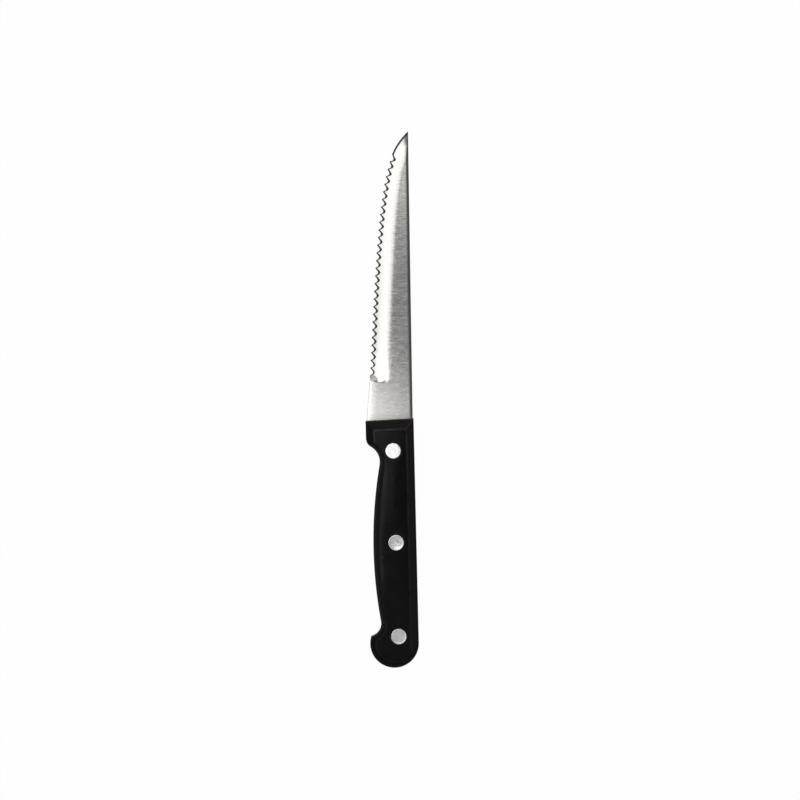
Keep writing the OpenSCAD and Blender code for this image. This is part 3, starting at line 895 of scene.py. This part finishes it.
def mix_colour(tree, part, first, second):
    """A colour between two others."""
    inputs = {MIX_FACTOR: part, MIX_FIRST: first, MIX_SECOND: second}
    return add_node(tree, "ShaderNodeMix", inputs, data_type="RGBA").outputs[MIX_RESULT]


def attribute(tree, name):
    """A number that the piece's mesh holds at each vertex."""
    return add_node(tree, "ShaderNodeAttribute", attribute_name=name).outputs["Fac"]


def noise(tree, vector, detail, roughness=0.5):
    """An uneven pattern from 0 to 1, about one vector unit across."""
    inputs = {"Vector": vector, "Scale": 1.0, "Detail": detail, "Roughness": roughness}
    return add_node(tree, "ShaderNodeTexNoise", inputs).outputs["Fac"]


def axes_of(tree, vector):
    """The X, Y and Z of a vector."""
    return add_node(tree, "ShaderNodeSeparateXYZ", {"Vector": vector}).outputs


def tinted(tint, factor=1.0):
    """A colour made lighter or darker."""
    return (*[part * factor for part in tint], 1)


def scaled_vector(tree, source, x, y, z):
    """Object coordinates divided by a feature's size along each axis, given in millimetres."""
    sizes = {axis: math_node(tree, "DIVIDE", 1 / MILLIMETRE, size) for axis, size in zip("XYZ", (x, y, z))}
    return vector_node(tree, "MULTIPLY", source, add_node(tree, "ShaderNodeCombineXYZ", sizes).outputs[0])


def shared_group(name, inputs, outputs):
    """Turns a function that wires up a node group into one that builds it once and places it."""

    def build(wire):
        group = bpy.data.node_groups.new(name, "ShaderNodeTree")
        group.interface.new_socket("Vector", in_out="INPUT", socket_type="NodeSocketVector")
        for key, value in inputs.items():
            socket = group.interface.new_socket(key, in_out="INPUT", socket_type="NodeSocketFloat")
            socket.default_value = value
        for key in outputs:
            group.interface.new_socket(key, in_out="OUTPUT", socket_type="NodeSocketFloat")
        results = wire(group, group.nodes.new("NodeGroupInput").outputs)
        fill(group, group.nodes.new("NodeGroupOutput"), dict(zip(outputs, results)))

    def decorate(wire):
        def place(tree, vector, **values):
            if name not in bpy.data.node_groups:
                build(wire)
            group = bpy.data.node_groups[name]
            return add_node(tree, "ShaderNodeGroup", {"Vector": vector, **values}, node_tree=group).outputs

        return place

    return decorate


@shared_group("knife brushing", {"Length": 9.0, "Width": 0.2}, ("Lines",))
def brushing(tree, size):
    """Fine lines that run across the blade, as a belt leaves them."""
    fine = scaled_vector(tree, size["Vector"], size["Length"], size["Width"], size["Length"])
    return [map_range(tree, noise(tree, fine, 3.0, 0.65), 0.25, 0.75)]


@shared_group("knife mottling", {"Patch": 3.0, "Speck": 0.8}, ("Patches", "Specks"))
def mottling(tree, size):
    """Soft uneven patches, and small sparse specks."""
    broad = scaled_vector(tree, size["Vector"], size["Patch"], size["Patch"], size["Patch"])
    tight = scaled_vector(tree, size["Vector"], size["Speck"], size["Speck"], size["Speck"])
    patches = map_range(tree, noise(tree, broad, 4.0), 0.3, 0.7)
    return [patches, map_range(tree, noise(tree, tight, 1.0), 0.77, 0.82)]


@shared_group("knife handle end", {"Slope": 0.03, "Near": 0.0003, "Far": 0.0006}, ("Mask",))
def handle_end(tree, size):
    """A mask that fades with the distance from the handle's slanted end, on both sides of it."""
    axes = axes_of(tree, size["Vector"])
    slanted = product(tree, math_node(tree, "SUBTRACT", axes["X"], CORNER.x), size["Slope"])
    beyond = math_node(tree, "SUBTRACT", axes["Y"], math_node(tree, "ADD", slanted, CORNER.y))
    distance = math_node(tree, "ABSOLUTE", beyond)
    return [map_range(tree, distance, size["Near"], size["Far"], 1.0, 0.0)]


@shared_group("knife tip stain", {"Near": 0.0035, "Far": 0.0085}, ("Mask",))
def tip_stain(tree, size):
    """A ragged mask that fades with the distance from the blade's tip."""
    reach = add_node(tree, "ShaderNodeVectorMath", {0: size["Vector"], 1: STAINED}, operation="DISTANCE")
    patches = mottling(tree, size["Vector"], Patch=2.2)["Patches"]
    ragged = math_node(tree, "ADD", reach.outputs["Value"], product(tree, patches, 0.0028))
    return [map_range(tree, ragged, size["Near"], size["Far"], 1.0, 0.0)]


def new_material(name):
    """An empty material with a shader, an output and object coordinates."""
    material = bpy.data.materials.new(name)
    material.use_nodes = True
    tree = material.node_tree
    tree.nodes.clear()
    shader = tree.nodes.new("ShaderNodeBsdfPrincipled")
    add_node(tree, "ShaderNodeOutputMaterial", {"Surface": shader.outputs["BSDF"]})
    place = tree.nodes.new("ShaderNodeTexCoord").outputs["Object"]
    return material, tree, shader, place


def bumped(tree, height, strength, distance, **normal):
    """The normal of a surface that a height pattern raises, or of one that leans to the given Normal."""
    inputs = {"Height": height, "Strength": strength, "Distance": distance, **normal}
    return add_node(tree, "ShaderNodeBump", inputs).outputs["Normal"]


def steel_material(finish, size, slant):
    """Satin steel brushed across the blade, brighter and finer on the ground band, darkened near the handle by
    painted shade, stained at the tip.
    """
    material, tree, shader, place = new_material("blade_steel")

    def steel(part, dark, light):
        return mix_colour(tree, part, tinted(finish.steel, dark), tinted(finish.steel, light))

    # The brushing is fainter on the bare stretch
    fine = brushing(tree, place, Length=2.6, Width=0.42)["Lines"]
    broad = brushing(tree, place, Length=12.0, Width=1.8)["Lines"]
    lines = weighted(tree, fine, broad, 0.72)
    start = CORNER.y + size.ricasso_length
    faint, full = start + BRUSHED_FROM, start + BRUSHED_TO
    contrast = map_range(tree, axes_of(tree, place)["Y"], faint, full, BARE_CONTRAST, 1.0)
    centred = product(tree, math_node(tree, "SUBTRACT", lines, 0.5), contrast)
    grained = math_node(tree, "ADD", centred, 0.5)
    hairs = map_range(tree, brushing(tree, place, Length=2.2, Width=0.3)["Lines"], 0.7, 0.95)
    satin = mix_colour(tree, hairs, steel(grained, 0.7, 1.24), tinted(finish.steel, 1.42))
    ground = attribute(tree, "ground")
    clean = mix_colour(tree, ground, satin, steel(lines, 1.04, 1.12))
    # The spine's bevel is darkened, partly as a dull finish and partly as painted shade
    clean = mix_colour(tree, attribute(tree, "dull"), clean, tinted(finish.steel, 0.4))

    # Painted shade: the steel is darkened within a few millimetres of the handle's end, for the shade the
    # handle throws there
    end = handle_end(tree, place, Slope=math.tan(slant), Near=0.0004, Far=0.0035)["Mask"]
    clean = mix_colour(tree, product(tree, end, 0.45), clean, tinted(finish.steel, 0.55))
    stain = tip_stain(tree, place, Near=0.0035, Far=0.0085)["Mask"]
    smooth = map_range(tree, ground, 0.0, 1.0, finish.flat_roughness, finish.ground_roughness)
    looks = {
        "Base Color": mix_colour(tree, stain, clean, tinted(finish.stain)),
        "Roughness": math_node(tree, "ADD", smooth, product(tree, lines, 0.05)),
        "Metallic": 1,
        "Normal": bumped(tree, grained, 0.26, 0.00001),
    }
    fill(tree, shader, looks)
    return material


def sharpened_material(finish):
    """Coarser steel on the sharpening bevel, darkened by painted shade."""
    material, tree, shader, place = new_material("sharpened_steel")
    lines = brushing(tree, place, Length=0.25, Width=0.12)["Lines"]
    # Painted shade: the bevel's steel is tinted far below the blade's, for the dark that the bevel reflects
    tint = mix_colour(tree, lines, tinted(finish.steel, 0.24), tinted(finish.steel, 0.37))
    stain = tip_stain(tree, place, Near=0.0015, Far=0.006)["Mask"]
    looks = {
        "Base Color": mix_colour(tree, stain, tint, tinted(finish.edge_stain)),
        "Roughness": map_range(tree, lines, 0.0, 1.0, 0.22, 0.34),
        "Metallic": 1,
        "Normal": bumped(tree, lines, 0.2, 0.00001),
    }
    fill(tree, shader, looks)
    return material


def crowned_normal(tree, place, size):
    """The normal of a panel that is crowned a little about a line midway between its two long ridges."""
    axes = axes_of(tree, place)
    low, high = SCALE_LOW.y + size.butt_radius, SCALE_HIGH.y - size.neck_distance
    guard = SCALE_HIGH.y - GUARD_PLACE * size.neck_distance
    widest, fading = mix(high, low, WIDEST), mix(high, low, CROWN_FADE)
    swell = map_range(tree, axes["Y"], high, widest, 0.0, size.belly_width - size.neck_width)
    middle = CORNER.x - (size.neck_width - size.side_bevel + size.back_bevel) / 2 - size.crown_shift
    across = math_node(tree, "SUBTRACT", axes["X"], middle)
    across = math_node(tree, "ADD", across, product(tree, swell, 0.5))
    half_width = (size.neck_width - size.side_bevel - size.back_bevel) / 2
    across = math_node(tree, "DIVIDE", across, half_width)
    across = math_node(tree, "MAXIMUM", math_node(tree, "MINIMUM", across, 1.0), -1.0)

    # The crown fades towards the butt, the guard and the panel's border
    crown = map_range(tree, axes["Y"], low, fading, 0.0, math.tan(size.panel_crown))
    near_guard = map_range(tree, axes["Y"], high, guard, 1.0, GUARD_CROWN)
    lean = product(tree, across, product(tree, crown, near_guard, attribute(tree, "panel")))
    sideways = add_node(tree, "ShaderNodeCombineXYZ", {"X": lean}).outputs["Vector"]
    straight = tree.nodes.new("ShaderNodeNewGeometry").outputs["Normal"]
    return vector_node(tree, "NORMALIZE", vector_node(tree, "ADD", straight, sideways))


def plastic_material(finish, size):
    """Moulded black plastic with a faint grain, soft handling marks, a few specks of dust and ridges lightened
    partly by rub and partly as a painted highlight.
    """
    material, tree, shader, place = new_material("handle_plastic")
    marks = mottling(tree, place, Patch=6.0, Speck=1.6)
    grain = mottling(tree, place, Patch=0.25, Speck=0.1)["Patches"]
    uneven = mottling(tree, place, Patch=2.5, Speck=1.0)["Patches"]
    tint = mix_colour(tree, marks["Patches"], tinted(finish.plastic, 0.85), tinted(finish.plastic, 1.2))
    broken = map_range(tree, uneven, 0.0, 0.6, 0.4, 1.0)
    # The ridges are lightened, partly as rub and partly as a painted highlight
    rub_and_highlight = product(tree, attribute(tree, "rub_and_highlight"), broken)
    tint = mix_colour(tree, rub_and_highlight, tint, tinted(finish.rub_and_highlight))

    # A thin uneven brown line is left along the handle's end
    end = handle_end(tree, place, Slope=math.tan(size.end_slant), Near=0.0003, Far=0.0006)["Mask"]
    singed = product(tree, end, broken, attribute(tree, "singed"))
    tint = mix_colour(tree, singed, tint, tinted(finish.singed))
    dust = product(tree, marks["Specks"], 0.3)
    smooth, worn = finish.plastic_roughness - 0.04, finish.plastic_roughness + 0.06
    looks = {
        "Base Color": mix_colour(tree, dust, tint, tinted(finish.dust)),
        "Roughness": map_range(tree, marks["Patches"], 0.0, 1.0, smooth, worn),
        "Specular IOR Level": 0.09,
        "Normal": bumped(tree, grain, 1.0, 0.000002, Normal=crowned_normal(tree, place, size)),
    }
    fill(tree, shader, looks)
    return material


def rivet_material(finish):
    """Soft bright metal, finely scratched and dented on the heads."""
    material, tree, shader, place = new_material("rivet_metal")
    patches = mottling(tree, place, Patch=1.7, Speck=0.5)["Patches"]
    lines = brushing(tree, place, Length=1.5, Width=0.18)["Lines"]
    uneven = weighted(tree, patches, lines, 0.7)
    smooth, scratched = finish.rivet_roughness - 0.05, finish.rivet_roughness + 0.1
    looks = {
        "Base Color": mix_colour(tree, uneven, tinted(finish.rivet, 0.86), tinted(finish.rivet, 1.1)),
        "Roughness": map_range(tree, uneven, 0.0, 1.0, smooth, scratched),
        "Metallic": 1,
        "Normal": bumped(tree, uneven, 0.3, 0.00006),
    }
    fill(tree, shader, looks)
    return material


def floor_material(finish):
    """Pale floor that looks white to the camera and in reflections, and keeps a faint shadow."""
    material, tree, shader, place = new_material("pale_floor")
    patches = mottling(tree, place, Patch=60.0, Speck=5.0)["Patches"]
    tint = mix_colour(tree, patches, tinted(finish.floor, 0.98), tinted(finish.floor))
    fill(tree, shader, {"Base Color": tint, "Roughness": 0.9})
    glow = add_node(tree, "ShaderNodeEmission", {"Color": (1, 1, 1, 1), "Strength": 1.0}).outputs["Emission"]
    path = tree.nodes.new("ShaderNodeLightPath").outputs
    seen = math_node(tree, "ADD", path["Is Camera Ray"], path["Is Glossy Ray"])
    seen = math_node(tree, "ADD", seen, path["Is Transmission Ray"])
    lit = product(tree, math_node(tree, "MINIMUM", seen, 1.0), 0.98)
    blend = add_node(tree, "ShaderNodeMixShader", {0: lit, 1: shader.outputs["BSDF"], 2: glow})
    output = next(node for node in tree.nodes if node.type == "OUTPUT_MATERIAL")
    tree.links.new(blend.outputs["Shader"], output.inputs["Surface"])
    return material


def add_lamp(name, size, place, turn, brightness):
    """An even rectangular lamp that faces down, turned clockwise by degrees and hidden from the camera."""
    data = bpy.data.lights.new(name, "AREA")
    data.shape = "RECTANGLE"
    data.size, data.size_y = size
    data.energy = brightness * math.pi * size[0] * size[1]
    lamp = bpy.data.objects.new(name, data)
    bpy.context.scene.collection.objects.link(lamp)
    lamp.location = place
    lamp.rotation_euler.z = -math.radians(turn)
    lamp.visible_camera = False


class KNIFE_OT_blade(bpy.types.Operator):
    """Builds the steel blade with its tang"""

    bl_idname = "knife.blade"
    bl_label = "Blade"

    def execute(self, context):
        scene = context.scene
        size, handle, rivet = map(in_millimetres, (scene.knife_blade, scene.knife_handle, scene.knife_rivet))
        bm = build_blade(size, handle, rivet)
        steel = steel_material(scene.knife_finish, scene.knife_blade, handle.end_slant)
        finishes = [steel, sharpened_material(scene.knife_finish)]
        add_piece(bm, "serrated_blade", finishes, "blade", BLADE_CREASE)
        return {"FINISHED"}


class KNIFE_OT_scales(bpy.types.Operator):
    """Builds the front and rear handle scales"""

    bl_idname = "knife.scales"
    bl_label = "Handle scales"

    def execute(self, context):
        scene = context.scene
        size, rivet = in_millimetres(scene.knife_handle), in_millimetres(scene.knife_rivet)
        plastic = plastic_material(scene.knife_finish, scene.knife_handle)
        thickness = scene.knife_blade.thickness / MILLIMETRE
        for name, side, shift in (("front_scale", 1, thickness), ("rear_scale", -1, 0)):
            bm = build_scale(size, rivet)
            bmesh.ops.scale(bm, vec=(1, 1, side), verts=bm.verts)
            bmesh.ops.translate(bm, vec=(0, 0, shift), verts=bm.verts)
            add_piece(bm, f"handle_{name}", [plastic], name, SCALE_CREASE)
        return {"FINISHED"}


class KNIFE_OT_rivets(bpy.types.Operator):
    """Builds the hollow and the solid half of each rivet"""

    bl_idname = "knife.rivets"
    bl_label = "Rivets"

    def execute(self, context):
        scene = context.scene
        size, rivet = in_millimetres(scene.knife_handle), in_millimetres(scene.knife_rivet)
        metal = rivet_material(scene.knife_finish)
        thickness = scene.knife_blade.thickness / MILLIMETRE
        seat = size.scale_thickness - rivet.head_recess - rivet.head_thickness
        grip = 2 * seat + thickness
        for name in DISHED:
            centre, dish = rivet_centre(name), rivet.dish * DISHED[name]
            halves = {
                "barrel": build_barrel(rivet, dish, grip, thickness + seat, centre),
                "post": build_post(rivet, dish, grip, -seat, centre),
            }
            for half, bm in halves.items():
                node = f"{name}_rivet_{half}"
                add_piece(bm, f"{name}_{half}", [metal], node, RIVET_CREASE)
        return {"FINISHED"}


class KNIFE_OT_stage(bpy.types.Operator):
    """Builds the floor, the lamps, the world and the camera"""

    bl_idname = "knife.stage"
    bl_label = "Stage"

    def execute(self, context):
        scene = context.scene
        stage = scene.knife_stage
        scene.view_settings.view_transform = "Standard"

        bm = bmesh.new()
        under = Matrix.Translation((0, 0, -FLOOR_DROP))
        cells = {"x_segments": FLOOR_CELLS, "y_segments": FLOOR_CELLS}
        bmesh.ops.create_grid(bm, size=FLOOR_HALF, matrix=under, **cells)
        mesh = bpy.data.meshes.new("floor")
        bm.to_mesh(mesh)
        bm.free()
        mesh.materials.append(floor_material(scene.knife_finish))
        floor = bpy.data.objects.new("floor", mesh)
        scene.collection.objects.link(floor)

        world = bpy.data.worlds.new("studio")
        world.use_nodes = True
        background = next(node for node in world.node_tree.nodes if node.type == "BACKGROUND")
        background.inputs["Color"].default_value = (1, 1, 1, 1)
        background.inputs["Strength"].default_value = stage.world
        scene.world = world

        for lamp in LAMPS:
            add_lamp(*lamp)

        data = bpy.data.cameras.new("camera")
        data.lens = stage.lens
        data.sensor_width = SENSOR_WIDTH
        camera = bpy.data.objects.new("camera", data)
        scene.collection.objects.link(camera)
        middle = (SCALE_LOW.z + BLADE_LOW.z) / 2
        distance = stage.view_width * data.lens / data.sensor_width
        camera.location = (stage.view_x, stage.view_y, middle + distance)
        camera.rotation_euler = (0, 0, stage.roll)
        scene.camera = camera
        return {"FINISHED"}


OPERATORS = (KNIFE_OT_blade, KNIFE_OT_scales, KNIFE_OT_rivets, KNIFE_OT_stage)
GROUPS = {
    "knife_blade": KnifeBladeSizes,
    "knife_handle": KnifeHandleSizes,
    "knife_rivet": KnifeRivetSizes,
    "knife_finish": KnifeFinishes,
    "knife_stage": KnifeStage,
}


class KNIFE_PT_panel(bpy.types.Panel):
    """Lists the knife's sizes and the operators that build it"""

    bl_idname = "KNIFE_PT_panel"
    bl_label = "Pizza Knife"
    bl_space_type = "VIEW_3D"
    bl_region_type = "UI"
    bl_category = "Pizza Knife"

    def draw(self, context):
        for operator in OPERATORS:
            self.layout.operator(operator.bl_idname)
        for key, group in GROUPS.items():
            box = self.layout.box()
            box.label(text=group.__doc__)
            for name in group.__annotations__:
                box.prop(getattr(context.scene, key), name)


CLASSES = (*GROUPS.values(), *OPERATORS, KNIFE_PT_panel)


def register():
    """Registers the classes and puts the sizes on the scene."""
    for cls in CLASSES:
        bpy.utils.register_class(cls)
    for key, group in GROUPS.items():
        setattr(bpy.types.Scene, key, PointerProperty(type=group))


def unregister():
    """Takes the sizes off the scene and the classes away."""
    for key in GROUPS:
        delattr(bpy.types.Scene, key)
    for cls in reversed(CLASSES):
        bpy.utils.unregister_class(cls)


def main():
    """Builds the whole knife."""
    register()
    bpy.ops.knife.blade()
    bpy.ops.knife.scales()
    bpy.ops.knife.rivets()
    bpy.ops.knife.stage()
    bpy.context.view_layer.update()


if __name__ == "__main__":
    main()
